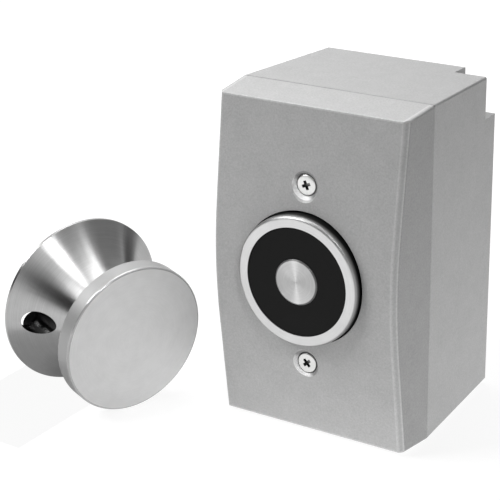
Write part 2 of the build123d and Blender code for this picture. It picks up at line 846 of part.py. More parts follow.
with BuildPart() as seat_liner:
    with BuildSketch(section_plane):
        with BuildLine():
            ThreePointArc(
                (rise(liner_inner, liner_below), ball_centre - liner_below),
                (liner_inner, ball_centre),
                (rise(liner_inner, liner_above), ball_centre + liner_above),
            )
            Line(
                (rise(liner_inner, liner_above), ball_centre + liner_above),
                (rise(liner_outer, liner_above), ball_centre + liner_above),
            )
            ThreePointArc(
                (rise(liner_outer, liner_above), ball_centre + liner_above),
                (liner_outer, ball_centre),
                (rise(liner_outer, liner_below), ball_centre - liner_below),
            )
            Line(
                (rise(liner_outer, liner_below), ball_centre - liner_below),
                (rise(liner_inner, liner_below), ball_centre - liner_below),
            )
        make_face()
    revolve(axis=armature_axis)
    # the slit that lets it snap over the ball
    with BuildSketch(door_plane):
        with Locations((0, liner_outer)):
            Rectangle(liner_slit, 2 * liner_outer)
    extrude(amount=armature_length, mode=Mode.SUBTRACT)
seat_liner.part.label = "seat_liner"
export_step(seat_liner.part, "parts/seat_liner.step")

shoulder_start = disc_rear - stud_shoulder_height
with BuildPart() as ball_stud:
    with BuildSketch(section_plane):
        with BuildLine():
            ThreePointArc(
                (0, ball_centre - ball_radius),
                (ball_radius, ball_centre),
                (stud_shank_radius, ball_centre + rise(ball_radius, stud_shank_radius)),
            )
            Polyline(
                (stud_shank_radius, ball_centre + rise(ball_radius, stud_shank_radius)),
                (stud_shank_radius, shoulder_start),
                (stud_shoulder_radius, shoulder_start),
                (stud_shoulder_radius, disc_rear),
                (stud_thread_radius, disc_rear),
                (stud_thread_radius, disc_rear + stud_thread_length),
                (0, disc_rear + stud_thread_length),
                (0, ball_centre - ball_radius),
            )
        make_face()
    revolve(axis=armature_axis)
ball_stud.part.label = "ball_stud"
export_step(ball_stud.part, "parts/ball_stud.step")

with BuildPart() as armature_disc:
    with BuildSketch(door_plane.offset(disc_rear)):
        Circle(disc_radius)
    extrude(amount=disc_thickness)
    fillet(armature_disc.edges().filter_by(GeomType.CIRCLE), disc_edge_round)
    with BuildSketch(door_plane.offset(disc_rear)):
        Circle(stud_thread_radius + thread_clearance)
    extrude(amount=stud_thread_length + thread_clearance, mode=Mode.SUBTRACT)
armature_disc.part.label = "armature_disc"
export_step(armature_disc.part, "parts/armature_disc.step")
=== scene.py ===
import math

import bpy
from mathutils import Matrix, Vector


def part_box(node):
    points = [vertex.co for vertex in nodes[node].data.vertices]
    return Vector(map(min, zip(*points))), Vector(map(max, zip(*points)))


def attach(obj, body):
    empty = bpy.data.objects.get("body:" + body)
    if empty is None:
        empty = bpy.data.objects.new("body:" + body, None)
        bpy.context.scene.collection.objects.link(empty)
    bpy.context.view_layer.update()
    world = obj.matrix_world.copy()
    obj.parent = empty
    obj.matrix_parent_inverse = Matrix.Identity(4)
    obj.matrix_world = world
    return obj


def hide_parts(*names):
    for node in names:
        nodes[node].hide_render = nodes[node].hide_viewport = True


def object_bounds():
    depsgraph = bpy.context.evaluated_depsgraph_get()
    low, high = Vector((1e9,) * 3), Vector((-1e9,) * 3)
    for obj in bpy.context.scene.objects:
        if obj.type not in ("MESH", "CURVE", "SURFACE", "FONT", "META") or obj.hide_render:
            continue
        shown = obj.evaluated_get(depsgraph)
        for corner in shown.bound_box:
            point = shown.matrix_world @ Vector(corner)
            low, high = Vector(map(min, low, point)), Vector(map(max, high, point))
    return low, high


# The looks of an electromagnetic door holder: a sand-textured silver housing with a satin pot
# magnet in its bowed cover, and the turned steel armature that lies beside it.
# Everything is in metres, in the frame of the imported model: X across, +Y into the wall, Z up.

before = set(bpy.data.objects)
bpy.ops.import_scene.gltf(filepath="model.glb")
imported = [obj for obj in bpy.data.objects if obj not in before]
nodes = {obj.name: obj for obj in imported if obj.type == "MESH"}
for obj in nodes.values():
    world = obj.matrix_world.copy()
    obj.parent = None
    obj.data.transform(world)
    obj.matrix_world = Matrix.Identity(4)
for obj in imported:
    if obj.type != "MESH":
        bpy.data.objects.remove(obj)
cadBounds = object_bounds()
mm = 0.001
print("frame loaded:", len(nodes), "nodes")


# Camera, at the photograph's place and angle: millimetres and degrees, and the clip in metres
camera = {
    "place": (263.62, -495.30, 205.13),
    "turn": (68.7076, 0.9191, 33.2839),
    "lens": 122.47,
    "sensor": 36.0,
    "clip": (0.01, 50),
}


def placeCamera():
    lens = bpy.data.cameras.new("photoCamera")
    lens.lens = camera["lens"]
    lens.sensor_width = camera["sensor"]
    lens.clip_start, lens.clip_end = camera["clip"]
    holder = bpy.data.objects.new("photoCamera", lens)
    holder.location = Vector(camera["place"]) * mm
    holder.rotation_euler = [math.radians(angle) for angle in camera["turn"]]
    bpy.context.scene.collection.objects.link(holder)
    bpy.context.scene.camera = holder


placeCamera()
print("camera placed")


# Small helpers for node trees, in which a value is a plain one or another node's output
def feed(tree, socket, value):
    if isinstance(value, bpy.types.NodeSocket):
        tree.links.new(value, socket)
    else:
        socket.default_value = value


def addNode(tree, kind, values=None, **settings):
    node = tree.nodes.new(kind)
    for key, value in settings.items():
        setattr(node, key, value)
    for socket, value in (values or {}).items():
        feed(tree, node.inputs[socket], value)
    return node


def addSockets(tree, way, kind, *names):
    for name in names:
        tree.interface.new_socket(name, in_out=way, socket_type=kind)


def newMaterial(name, values):
    material = bpy.data.materials.new(name)
    material.use_nodes = True
    shader = material.node_tree.nodes["Principled BSDF"]
    for socket, value in values.items():
        shader.inputs[socket].default_value = value
    return material, material.node_tree, shader


def grey(level):
    return (level, level, level, 1.0)


def mathNode(tree, operation, *values, clamp=False):
    slots = dict(enumerate(values))
    return addNode(tree, "ShaderNodeMath", slots, operation=operation, use_clamp=clamp).outputs[0]


def vectorNode(tree, operation, *values, output="Vector"):
    slots = dict(enumerate(values))
    return addNode(tree, "ShaderNodeVectorMath", slots, operation=operation).outputs[output]


def vectorFrom(tree, x=0.0, y=0.0, z=0.0):
    return addNode(tree, "ShaderNodeCombineXYZ", {0: x, 1: y, 2: z}).outputs[0]


def splitVector(tree, vector):
    return addNode(tree, "ShaderNodeSeparateXYZ", {0: vector}).outputs


def objectPlace(tree):
    return addNode(tree, "ShaderNodeTexCoord").outputs["Object"]


# The length of the line to a point that is so far across and so far up
def distanceFrom(tree, across, up):
    acrossSquare = mathNode(tree, "MULTIPLY", across, across)
    upSquare = mathNode(tree, "MULTIPLY", up, up)
    return mathNode(tree, "SQRT", mathNode(tree, "ADD", acrossSquare, upSquare))


# 0 to 1 as a value goes from the first end of a reach to the second, which may be the lower
# one; the ends are measured from an edge
def ramp(tree, value, reach, edge=0.0):
    ends = {"Value": value, "From Min": edge + reach[0], "From Max": edge + reach[1]}
    return addNode(tree, "ShaderNodeMapRange", ends, interpolation_type="SMOOTHSTEP").outputs[0]


# 1 where a value is at the middle, falling to 0 at half a width from it
def stripe(tree, value, middle, half):
    away = mathNode(tree, "ABSOLUTE", mathNode(tree, "SUBTRACT", value, middle))
    return ramp(tree, away, (half, 0.0))


def blendGrey(tree, mask, colour, level):
    ends = {"Factor": mask, "A": colour, "B": grey(level)}
    return addNode(tree, "ShaderNodeMix", ends, data_type="RGBA").outputs["Result"]


def blendValue(tree, mask, first, second):
    ends = {"Factor": mask, "A": first, "B": second}
    return addNode(tree, "ShaderNodeMix", ends).outputs["Result"]


def tinted(tree, colour, tone):
    parts = {0: colour, "Scale": tone}
    return addNode(tree, "ShaderNodeVectorMath", parts, operation="SCALE").outputs[0]


# Shader group: noise that makes a colour lighter and darker between two shares of it
mottleNoise = {"detail": 3.0, "roughness": 0.55, "range": (0.3, 0.7)}


def mottleGroup():
    group = bpy.data.node_groups.new("mottle", "ShaderNodeTree")
    addSockets(group, "INPUT", "NodeSocketVector", "Vector")
    addSockets(group, "INPUT", "NodeSocketFloat", "Scale", "Low", "High")
    addSockets(group, "INPUT", "NodeSocketColor", "Colour")
    addSockets(group, "OUTPUT", "NodeSocketColor", "Colour")
    addSockets(group, "OUTPUT", "NodeSocketFloat", "Mask")
    start = addNode(group, "NodeGroupInput").outputs
    noise = addNode(group, "ShaderNodeTexNoise", {
        "Vector": start["Vector"], "Scale": start["Scale"],
        "Detail": mottleNoise["detail"], "Roughness": mottleNoise["roughness"],
    }).outputs[0]
    spread = addNode(group, "ShaderNodeMapRange", {
        "Value": noise, "From Min": mottleNoise["range"][0], "From Max": mottleNoise["range"][1],
        "To Min": start["Low"], "To Max": start["High"],
    }).outputs[0]
    colour = tinted(group, start["Colour"], spread)
    addNode(group, "NodeGroupOutput", {"Colour": colour, "Mask": noise})
    return group


# Shader group: distance along an axis, distance from it and the turn round it
def polarGroup():
    group = bpy.data.node_groups.new("polar", "ShaderNodeTree")
    addSockets(group, "INPUT", "NodeSocketVector", "Position", "Centre", "Axis", "Side", "Up")
    addSockets(group, "OUTPUT", "NodeSocketFloat", "Along", "Out", "Turn", "Side", "Up")
    start = addNode(group, "NodeGroupInput").outputs
    offset = vectorNode(group, "SUBTRACT", start["Position"], start["Centre"])
    along, side, up = (
        vectorNode(group, "DOT_PRODUCT", offset, start[name], output="Value")
        for name in ("Axis", "Side", "Up")
    )
    out = vectorNode(group, "LENGTH", vectorFrom(group, side, up), output="Value")
    turn = mathNode(group, "ARCTAN2", up, side)
    addNode(group, "NodeGroupOutput", {
        "Along": along, "Out": out, "Turn": turn, "Side": side, "Up": up,
    })
    return group


sharedGroups = {"mottle": mottleGroup(), "polar": polarGroup()}


def useGroup(tree, name, values):
    return addNode(tree, "ShaderNodeGroup", values, node_tree=sharedGroups[name]).outputs


def mottle(tree, place, scale, tones, colour):
    return useGroup(tree, "mottle", {
        "Vector": place, "Scale": scale, "Low": tones[0], "High": tones[1], "Colour": colour,
    })


def addBump(tree, shader, height, distance, strength=1.0):
    bump = addNode(tree, "ShaderNodeBump", {
        "Strength": strength, "Distance": distance, "Height": height,
    })
    feed(tree, shader.inputs["Normal"], bump.outputs[0])


# Sand-textured silver paint on the housing. A shade or shine is a share of its level, and a
# reach says where that starts and where it is full.
paint = {
    "level": 0.40,
    "metallic": 0.15,
    "roughness": 0.50,
    "cloudScale": 160.0,
    "cloudTones": (0.968, 1.032),
    "grainScale": 1700.0,
    "grainTones": (0.90, 1.10),
    "grainHeight": 0.09 * mm,
    "seamReach": (0.75 * mm, 0.1 * mm),
    "seamShade": 0.66,
    "roofReach": (-0.9 * mm, -0.5 * mm),
    "wallReach": (0.16 * mm, 0.06 * mm),
    "wallShade": 0.78,
    "edgeHighlight": 1.28,
}
# the cover's size at the joint, and how much each wall draws in on the way to the front
coverWalls = {
    "X": {"size": 69.85 * mm, "slope": 0.045426},
    "Z": {"size": 114.3 * mm, "slope": 0.093375},
}
# painted highlights along the cover's edges: across which axis, how far in and half their width
coverEdges = (
    {"axis": "X", "middle": 1.4 * mm, "half": 0.6 * mm},
    {"axis": "X", "middle": 0.3 * mm, "half": 0.25 * mm},
    {"axis": "Z", "middle": 0.45 * mm, "half": 0.4 * mm},
)
# painted highlight below each countersink and painted shade above it
countersinks = {
    "height": 30.6 * mm, "radius": 4.80 * mm, "rimReach": (0.0, -0.15 * mm),
    "highlightReach": (-0.3 * mm, -3.6 * mm), "dull": 0.62, "bright": 1.85,
}
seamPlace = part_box("back_box")[0].y
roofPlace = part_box("back_box")[1].z


# The joint between box and cover gathers shade above and below
def seamTone(tree, split):
    away = mathNode(tree, "ABSOLUTE", mathNode(tree, "SUBTRACT", split["Y"], seamPlace))
    height = mathNode(tree, "ABSOLUTE", split["Z"])
    seam = mathNode(tree, "MULTIPLY", ramp(tree, height, paint["roofReach"], roofPlace),
                    ramp(tree, away, paint["seamReach"]))
    return blendValue(tree, seam, 1.0, paint["seamShade"])


# The cover's side walls are a little darker, and its edges carry painted highlights
def coverTone(tree, split, tone):
    forward = mathNode(tree, "SUBTRACT", seamPlace, split["Y"])
    inward = {}
    for axis, wall in coverWalls.items():
        drawn = mathNode(tree, "MULTIPLY", forward, wall["slope"])
        inward[axis] = mathNode(tree, "SUBTRACT", mathNode(tree, "SUBTRACT", wall["size"] / 2, drawn),
                                mathNode(tree, "ABSOLUTE", split[axis]))
    beside = ramp(tree, inward["X"], paint["wallReach"])
    tone = mathNode(tree, "MULTIPLY", tone, blendValue(tree, beside, 1.0, paint["wallShade"]))
    # painted highlights along the cover's edges
    shine = 0.0
    for edge in coverEdges:
        line = stripe(tree, inward[edge["axis"]], edge["middle"], edge["half"])
        shine = mathNode(tree, "MAXIMUM", shine, line)
    return mathNode(tree, "MULTIPLY", tone, blendValue(tree, shine, 1.0, paint["edgeHighlight"]))


# The countersinks of the cover screws get a painted highlight below and painted shade above
def sinkTone(tree, split, tone):
    end = mathNode(tree, "MULTIPLY", mathNode(tree, "SIGN", split["Z"]), countersinks["height"])
    above = mathNode(tree, "SUBTRACT", split["Z"], end)
    sunk = ramp(tree, distanceFrom(tree, above, split["X"]), countersinks["rimReach"],
                countersinks["radius"])
    lower = ramp(tree, mathNode(tree, "ADD", above, split["X"]), countersinks["highlightReach"])
    sinkHighlight = blendValue(tree, lower, countersinks["dull"], countersinks["bright"])
    return mathNode(tree, "MULTIPLY", tone, blendValue(tree, sunk, 1.0, sinkHighlight))


def silverPaint(name, cover):
    material, tree, shader = newMaterial(name, {
        "Roughness": paint["roughness"], "Metallic": paint["metallic"],
    })
    place = objectPlace(tree)
    split = splitVector(tree, place)
    tone = seamTone(tree, split)
    if cover:
        tone = sinkTone(tree, split, coverTone(tree, split, tone))
    cloud = mottle(tree, place, paint["cloudScale"], paint["cloudTones"], grey(paint["level"]))
    grain = mottle(tree, place, paint["grainScale"], paint["grainTones"], cloud["Colour"])
    feed(tree, shader.inputs["Base Color"], tinted(tree, grain["Colour"], tone))
    addBump(tree, shader, grain["Mask"], paint["grainHeight"])
    return material


# Where the armature lies: its axis runs from the flange's back to the disc's face; degrees
armature = {"heading": -20.2, "lean": 6.0, "length": 35.0 * mm}
heading = math.radians(armature["heading"])
lean = math.radians(armature["lean"])
armatureAxis = Vector((
    math.cos(lean) * math.cos(heading),
    math.cos(lean) * math.sin(heading),
    -math.sin(lean),
))
discLow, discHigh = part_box("armature_disc")
discMiddle = (discLow + discHigh) / 2

# The magnet's axis runs out of the wall, from the frame's origin
magnetAxis = Vector((0, -1, 0))
magnetMiddle = Vector((0, 0, 0))
magnetFace = -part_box("magnet_pot")[0].y

# Turned and ground metals, whose fine marks run round an axis: how much the marks lighten and
# darken, and how fine they are across the turning and round it
turnedFinishes = {
    "armatureSteel": {
        "level": 0.42, "roughness": 0.32, "anisotropic": 0.90, "marks": 0.10,
        "alongScale": 9000.0, "turnScale": 1.2, "markHeight": 0.004 * mm,
    },
    "discSteel": {
        "level": 0.66, "roughness": 0.50, "anisotropic": 0.20, "marks": 0.02, "metallic": 0.35,
        "alongScale": 2500.0, "turnScale": 3.0, "markHeight": 0.002 * mm,
    },
    "magnetSteel": {
        "level": 0.60, "roughness": 0.32, "anisotropic": 0.40, "marks": 0.05,
        "alongScale": 5000.0, "turnScale": 2.0, "markHeight": 0.002 * mm,
    },
    "poleSteel": {
        "level": 0.50, "roughness": 0.36, "anisotropic": 0.90, "marks": 0.07,
        "alongScale": 4000.0, "turnScale": 1.0, "markHeight": 0.003 * mm,
    },
}
steelCloud = {"scale": 220.0, "tones": (0.97, 1.03)}
quarterTurn = 0.25


# Two unit vectors across an axis: one level, the other at right angles to both
def axisFrame(axis):
    side = Vector((0, 0, 1)).cross(axis).normalized()
    return side, axis.cross(side).normalized()


# Gives back the material, its tree, its shader, the colour before it and the polar outputs
def turnedSteel(name, centre, axis):
    look = turnedFinishes[name]
    side, up = axisFrame(axis)
    material, tree, shader = newMaterial(name, {
        "Roughness": look["roughness"], "Metallic": look.get("metallic", 1.0),
        "Anisotropic": look["anisotropic"], "Anisotropic Rotation": quarterTurn,
    })
    place = objectPlace(tree)
    polar = useGroup(tree, "polar", {
        "Position": place, "Centre": centre, "Axis": axis, "Side": side, "Up": up,
    })
    # noise that is fine across the turning and long round it makes the marks
    marksPlace = vectorFrom(
        tree,
        mathNode(tree, "MULTIPLY", polar["Out"], look["alongScale"]),
        mathNode(tree, "MULTIPLY", polar["Along"], look["alongScale"]),
        mathNode(tree, "MULTIPLY", polar["Turn"], look["turnScale"]),
    )
    tones = (1 - look["marks"], 1 + look["marks"])
    marks = mottle(tree, marksPlace, 1.0, tones, grey(look["level"]))
    cloud = mottle(tree, place, steelCloud["scale"], steelCloud["tones"], marks["Colour"])
    feed(tree, shader.inputs["Base Color"], cloud["Colour"])
    addBump(tree, shader, marks["Mask"], look["markHeight"])
    # the grain's direction runs round the axis
    around = vectorNode(tree, "CROSS_PRODUCT", axis, vectorNode(tree, "SUBTRACT", place, centre))
    direction = addNode(tree, "ShaderNodeVectorTransform", {0: around}, vector_type="VECTOR",
                        convert_from="OBJECT", convert_to="WORLD")
    feed(tree, shader.inputs["Tangent"], direction.outputs[0])
    return material, tree, shader, cloud["Colour"], polar


# The armature's base, with painted shade inside its screw holes
screwHoles = {
    "circle": 22.0 * mm, "radius": 4.2 * mm, "reach": (0.12 * mm, 0.02 * mm), "level": 0.05,
}


def baseSteel():
    material, tree, shader, colour, polar = turnedSteel("armatureSteel", discMiddle, armatureAxis)
    beside = mathNode(tree, "ABSOLUTE", polar["Side"])
    across = mathNode(tree, "SUBTRACT", beside, screwHoles["circle"])
    # painted shade: the colour is nearly black inside each screw hole
    holeShade = ramp(tree, distanceFrom(tree, across, polar["Up"]), screwHoles["reach"],
                  screwHoles["radius"])
    colour = blendGrey(tree, holeShade, colour, screwHoles["level"])
    feed(tree, shader.inputs["Base Color"], colour)
    return material


# The armature's disc: a satin face, a greyer rim and a polished edge between them
discEdge = {
    "radius": 26.4 * mm, "thickness": 6.6 * mm, "round": 0.7 * mm,
    "rimReach": (0.15 * mm, -0.05 * mm), "edgeReach": (-0.75 * mm, -0.65 * mm),
    "rimLevel": 0.34, "rimRoughness": 0.36, "edgeLevel": 0.45, "edgeRoughness": 0.20,
}


def discSteel():
    material, tree, shader, colour, polar = turnedSteel("discSteel", discMiddle, armatureAxis)
    roundStart = discEdge["thickness"] / 2 - discEdge["round"]
    rim = ramp(tree, polar["Along"], discEdge["rimReach"], roundStart)
    outer = ramp(tree, polar["Out"], discEdge["edgeReach"], discEdge["radius"])
    edge = mathNode(tree, "MULTIPLY", outer, mathNode(tree, "SUBTRACT", 1.0, rim))
    colour = blendGrey(tree, rim, colour, discEdge["rimLevel"])
    colour = blendGrey(tree, edge, colour, discEdge["edgeLevel"])
    roughness = turnedFinishes["discSteel"]["roughness"]
    rough = blendValue(tree, rim, roughness, discEdge["rimRoughness"])
    rough = blendValue(tree, edge, rough, discEdge["edgeRoughness"])
    feed(tree, shader.inputs["Base Color"], colour)
    feed(tree, shader.inputs["Roughness"], rough)
    return material


# The pole's turned face: painted sheen in lighter and darker sectors, and a rougher rim with painted
# shade
poleFace = {
    "sheenSpread": 0.15, "sheenTurn": 95.0,
    "rimReach": (-0.7 * mm, -0.35 * mm), "rimLevel": 0.20, "rimRoughness": 0.6,
}


def poleSteel():
    material, tree, shader, colour, polar = turnedSteel("poleSteel", magnetMiddle, magnetAxis)
    # painted sheen: the colour goes lighter and darker in sectors round the axis
    turn = mathNode(tree, "SUBTRACT", polar["Turn"], math.radians(poleFace["sheenTurn"]))
    wave = mathNode(tree, "COSINE", mathNode(tree, "MULTIPLY", turn, 2.0))
    spread = mathNode(tree, "MULTIPLY", wave, poleFace["sheenSpread"])
    colour = tinted(tree, colour, mathNode(tree, "ADD", spread, 1.0))
    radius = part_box("magnet_core")[1].x
    # painted shade: the rim's colour is darker, to hold back its edge highlight
    rim = ramp(tree, polar["Out"], poleFace["rimReach"], radius)
    colour = blendGrey(tree, rim, colour, poleFace["rimLevel"])
    roughness = turnedFinishes["poleSteel"]["roughness"]
    rough = blendValue(tree, rim, roughness, poleFace["rimRoughness"])
    feed(tree, shader.inputs["Base Color"], colour)
    feed(tree, shader.inputs["Roughness"], rough)
    return material


# The pot's steel, whose side is grey behind the bright face and black further back
potSide = {
    "greyReach": (0.05 * mm, 0.32 * mm), "greyLevel": 0.28, "roughness": 0.42,
    "blackReach": (0.7 * mm, 2.7 * mm), "blackLevel": 0.012,
}


def potSteel():
    material, tree, shader, colour, polar = turnedSteel("magnetSteel", magnetMiddle, magnetAxis)
    depth = mathNode(tree, "SUBTRACT", magnetFace, polar["Along"])
    side = ramp(tree, depth, potSide["greyReach"])
    black = ramp(tree, depth, potSide["blackReach"])
    colour = blendGrey(tree, side, colour, potSide["greyLevel"])
    colour = blendGrey(tree, black, colour, potSide["blackLevel"])
    roughness = turnedFinishes["magnetSteel"]["roughness"]
    rough = blendValue(tree, side, roughness, potSide["roughness"])
    feed(tree, shader.inputs["Base Color"], colour)
    feed(tree, shader.inputs["Roughness"], rough)
    return material


# Plain finishes: plated steel, plastics, resin, rubber and copper
plainFinishes = {
    "brightNickel": {
        "colour": (0.70, 0.70, 0.69), "roughness": 0.28, "metallic": 1.0, "grain": 900.0,
    },
    "zincPlate": {
        "colour": (0.62, 0.63, 0.64), "roughness": 0.38, "metallic": 1.0, "grain": 500.0,
    },
    "greenPlate": {
        "colour": (0.08, 0.36, 0.14), "roughness": 0.35, "metallic": 0.6, "grain": 500.0,
    },
    "blackResin": {
        "colour": (0.008, 0.008, 0.008), "roughness": 0.70, "grain": 1400.0, "shine": 0.12,
    },
    "blackRubber": {"colour": (0.025, 0.025, 0.025), "roughness": 0.75, "grain": 900.0},
    "whiteNylon": {"colour": (0.80, 0.79, 0.74), "roughness": 0.45, "grain": 300.0},
    "copperWire": {
        "colour": (0.62, 0.28, 0.12), "roughness": 0.30, "metallic": 0.9, "grain": 700.0,
    },
    "redSleeve": {"colour": (0.50, 0.03, 0.02), "roughness": 0.45, "grain": 700.0},
    "boardGreen": {"colour": (0.02, 0.19, 0.08), "roughness": 0.35, "grain": 400.0},
    "terminalGreen": {"colour": (0.06, 0.30, 0.14), "roughness": 0.42, "grain": 500.0},
    "discBlue": {"colour": (0.04, 0.10, 0.34), "roughness": 0.30, "grain": 300.0},
}
# how all of them are worn: the cloud is so many times the grain's size
plainWear = {
    "cloudSize": 6, "tones": (0.96, 1.04), "roughness": (0.9, 1.1),
    "bumpStrength": 0.5, "bumpHeight": 0.01 * mm,
}


def plainFinish(name):
    look = plainFinishes[name]
    material, tree, shader = newMaterial(name, {
        "Metallic": look.get("metallic", 0.0), "Specular IOR Level": look.get("shine", 0.5),
    })
    place = objectPlace(tree)
    tones = plainWear["tones"]
    cloud = mottle(tree, place, look["grain"] / plainWear["cloudSize"], tones, (*look["colour"], 1.0))
    grain = mottle(tree, place, look["grain"], tones, cloud["Colour"])
    smooth, rough = (look["roughness"] * share for share in plainWear["roughness"])
    wear = addNode(tree, "ShaderNodeMapRange", {
        "Value": cloud["Mask"], "To Min": smooth, "To Max": rough,
    })
    feed(tree, shader.inputs["Base Color"], grain["Colour"])
    feed(tree, shader.inputs["Roughness"], wear.outputs[0])
    addBump(tree, shader, grain["Mask"], plainWear["bumpHeight"], plainWear["bumpStrength"])
    return material


# The cover screws' nickel, with painted shade in the recess of each cross
crossShade = {
    "radius": 2.3 * mm, "radiusReach": (0.2 * mm, 0.0), "depthReach": (0.05 * mm, 0.35 * mm),
    "level": 0.15,
}


def screwNickel():
    material = plainFinish("brightNickel")
    tree = material.node_tree
    shader = tree.nodes["Principled BSDF"]
    colour = shader.inputs["Base Color"].links[0].from_socket
    low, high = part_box("cover_screws")
    headPlace = high.z - (high.x - low.x) / 2
    split = splitVector(tree, objectPlace(tree))
    across = mathNode(tree, "SUBTRACT", mathNode(tree, "ABSOLUTE", split["Z"]), headPlace)
    near = ramp(tree, distanceFrom(tree, across, split["X"]), crossShade["radiusReach"],
                crossShade["radius"])
    deep = ramp(tree, mathNode(tree, "SUBTRACT", split["Y"], low.y), crossShade["depthReach"])
    shade = mathNode(tree, "MULTIPLY", near, deep)
    colour = blendGrey(tree, shade, colour, crossShade["level"])
    feed(tree, shader.inputs["Base Color"], colour)
    return material


finishes = {name: plainFinish(name) for name in plainFinishes}
finishes["boxPaint"] = silverPaint("boxPaint", cover=False)
finishes["coverPaint"] = silverPaint("coverPaint", cover=True)
finishes["armatureSteel"] = baseSteel()
finishes["discSteel"] = discSteel()
finishes["poleSteel"] = poleSteel()
finishes["magnetSteel"] = potSteel()
finishes["screwNickel"] = screwNickel()
print("finishes made:", len(finishes))

nodeFinishes = {
    "back_box": "boxPaint",
    "face_cover": "coverPaint",
    "mounting_strap": "zincPlate",
    "cover_screws": "brightNickel",
    "strap_screws": "zincPlate",
    "ground_screw": "greenPlate",
    "centre_bolt": "zincPlate",
    "lock_washer": "zincPlate",
    "magnet_pot": "magnetSteel",
    "magnet_core": "poleSteel",
    "coil_bobbin": "whiteNylon",
    "coil_winding": "copperWire",
    "potting_ring": "blackResin",
    "lead_grommet": "blackRubber",
    "coil_lead_plus": "redSleeve",
    "coil_lead_minus": "blackRubber",
    "circuit_board": "boardGreen",
    "board_standoffs": "zincPlate",
    "board_screws": "zincPlate",
    "terminal_block": "terminalGreen",
    "terminal_screws": "zincPlate",
    "rectifier": "blackResin",
    "varistor": "discBlue",
    "armature_base": "armatureSteel",
    "seat_collar": "zincPlate",
    "seat_liner": "whiteNylon",
    "ball_stud": "zincPlate",
    "armature_disc": "discSteel",
}


def dressNodes():
    for name, finish in nodeFinishes.items():
        slots = nodes[name].material_slots
        if not slots:
            nodes[name].data.materials.append(finishes[finish])
        for slot in slots:
            slot.material = finishes[finish]


dressNodes()
print("nodes dressed")


# Cross-head screws: one tree for all of them, set on the places that the CAD gives. Lengths are
# in millimetres, and the turns of the crosses in degrees, the upper screws' first.
crossScrews = {
    "cover_screws": {
        "headRadius": 3.45, "headHeight": 2.0, "edgeRound": 0.45, "shankRadius": 1.75,
        "finish": "screwNickel", "slot": "bright_nickel", "turns": (22.0, 42.0),
    },
    "strap_screws": {
        "headRadius": 3.3, "headHeight": 2.2, "edgeRound": 0.9, "shankRadius": 1.75,
        "finish": "zincPlate", "slot": "zinc_plate", "turns": (10.0, 65.0),
    },
    "ground_screw": {
        "headRadius": 3.3, "headHeight": 2.2, "edgeRound": 0.9, "shankRadius": 1.75,
        "finish": "greenPlate", "slot": "ground_green", "turns": (30.0,),
    },
    "board_screws": {
        "headRadius": 2.8, "headHeight": 1.8, "edgeRound": 0.8, "shankRadius": 1.5,
        "finish": "zincPlate", "slot": "zinc_plate", "turns": (15.0, 50.0),
    },
}
# shares of the head's radius or height
crossRecess = {"armLength": 1.06, "armWidth": 0.36, "depth": 0.70, "taper": 0.72}
screwThread = {"pitch": 0.7 * mm, "depth": 0.22 * mm}
# how finely heads and shanks are turned, how far they overlap, and the sharpest smoothed angle
screwMesh = {
    "head": {"count": 28, "sides": 56}, "shank": {"count": 90, "sides": 20},
    "overlap": 0.1 * mm, "smoothAngle": 35.0,
}
screwSizes = (
    "Head Radius", "Head Height", "Edge Round", "Shank Radius", "Shank Length", "Thread Pitch",
    "Thread Depth", "Arm Length", "Arm Width", "Recess Depth", "Recess Taper",
)


# A bar whose lower end is narrower: one arm of the cross, as the tool that cuts it
def recessArm(tree, start, turn):
    length = mathNode(tree, "MULTIPLY", start["Head Radius"], start["Arm Length"])
    width = mathNode(tree, "MULTIPLY", start["Head Radius"], start["Arm Width"])
    deep = mathNode(tree, "MULTIPLY", start["Head Height"], start["Recess Depth"])
    size = vectorFrom(tree, length, width, mathNode(tree, "MULTIPLY", deep, 2.0))
    bar = addNode(tree, "GeometryNodeMeshCube", {"Size": size})
    split = splitVector(tree, addNode(tree, "GeometryNodeInputPosition").outputs[0])
    low = addNode(tree, "FunctionNodeCompare", {0: split["Z"], 1: 0.0},
                  operation="LESS_THAN", data_type="FLOAT")
    inward = vectorFrom(
        tree,
        mathNode(tree, "MULTIPLY", split["X"], start["Recess Taper"]),
        mathNode(tree, "MULTIPLY", split["Y"], start["Recess Taper"]),
        split["Z"],
    )
    narrow = addNode(tree, "GeometryNodeSetPosition", {
        "Geometry": bar.outputs["Mesh"], "Selection": low.outputs[0], "Position": inward,
    })
    stand = addNode(tree, "GeometryNodeTransform", {
        "Geometry": narrow.outputs[0], "Rotation": (0, 0, turn),
        "Translation": vectorFrom(tree, z=start["Head Height"]),
    })
    return stand.outputs[0]


# A turned shape: a line swept by a circle, whose size follows the radius at each height
def turnedBar(tree, low, high, radius, count, sides):
    line = addNode(tree, "GeometryNodeCurvePrimitiveLine", {
        "Start": vectorFrom(tree, z=low), "End": vectorFrom(tree, z=high),
    })
    points = addNode(tree, "GeometryNodeResampleCurve", {"Curve": line.outputs[0], "Count": count})
    circle = addNode(tree, "GeometryNodeCurvePrimitiveCircle", {"Resolution": sides, "Radius": 1.0})
    sweep = addNode(tree, "GeometryNodeCurveToMesh", {
        "Curve": points.outputs[0], "Profile Curve": circle.outputs[0],
        "Scale": radius, "Fill Caps": True,
    })
    return sweep.outputs[0]


